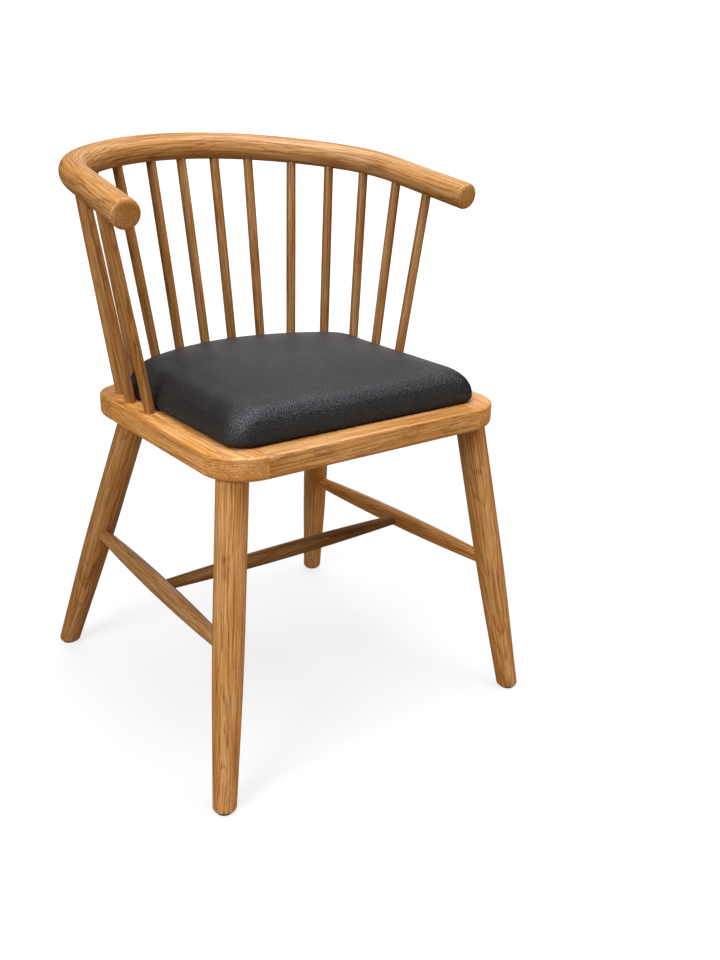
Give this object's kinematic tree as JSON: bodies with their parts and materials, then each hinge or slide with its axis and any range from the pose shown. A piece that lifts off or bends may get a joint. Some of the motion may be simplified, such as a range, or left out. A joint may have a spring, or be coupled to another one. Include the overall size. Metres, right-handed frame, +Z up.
{
  "type": "spindle back armchair",
  "caption": "Oak armchair: a round bow rail forms back and arms on slender spindles, over a framed seat with a crowned leather pad, splayed tapered legs and an H stretcher.",
  "frame": {"origin": "on the floor, under the middle of the chair's box", "axes": "+Z up, the chair faces -Y, +X to the right of a viewer who looks at its front"},
  "size_m": [0.528, 0.5058, 0.7385],
  "materials": {
    "oak": "satin oiled oak",
    "plywood": "plain plywood",
    "leather": "pebbled charcoal leather",
    "foam": "open foam",
    "steel": "zinc plated",
    "glide": "matte"
  },
  "bodies": {
    "root": {"bow_arm_left": "oak", "bow_arm_right": "oak", "bow_back": "oak", "bow_dowels": "oak", "centre_stretcher": "oak", "glide_back_left": "glide", "glide_back_right": "glide", "glide_front_left": "glide", "glide_front_right": "glide", "leg_back_left": "oak", "leg_back_right": "oak", "leg_front_left": "oak", "leg_front_right": "oak", "pad_screws": "steel", "seat_board": "plywood", "seat_cover": "leather", "seat_foam": "foam", "seat_rail_back": "oak", "seat_rail_front": "oak", "seat_rail_left": "oak", "seat_rail_right": "oak", "side_stretcher_left": "oak", "side_stretcher_right": "oak", "spindle_left_1": "oak", "spindle_left_2": "oak", "spindle_left_3": "oak", "spindle_left_4": "oak", "spindle_left_5": "oak", "spindle_left_6": "oak", "spindle_left_7": "oak", "spindle_right_1": "oak", "spindle_right_2": "oak", "spindle_right_3": "oak", "spindle_right_4": "oak", "spindle_right_5": "oak", "spindle_right_6": "oak", "spindle_right_7": "oak"}
  },
  "joints": []
}
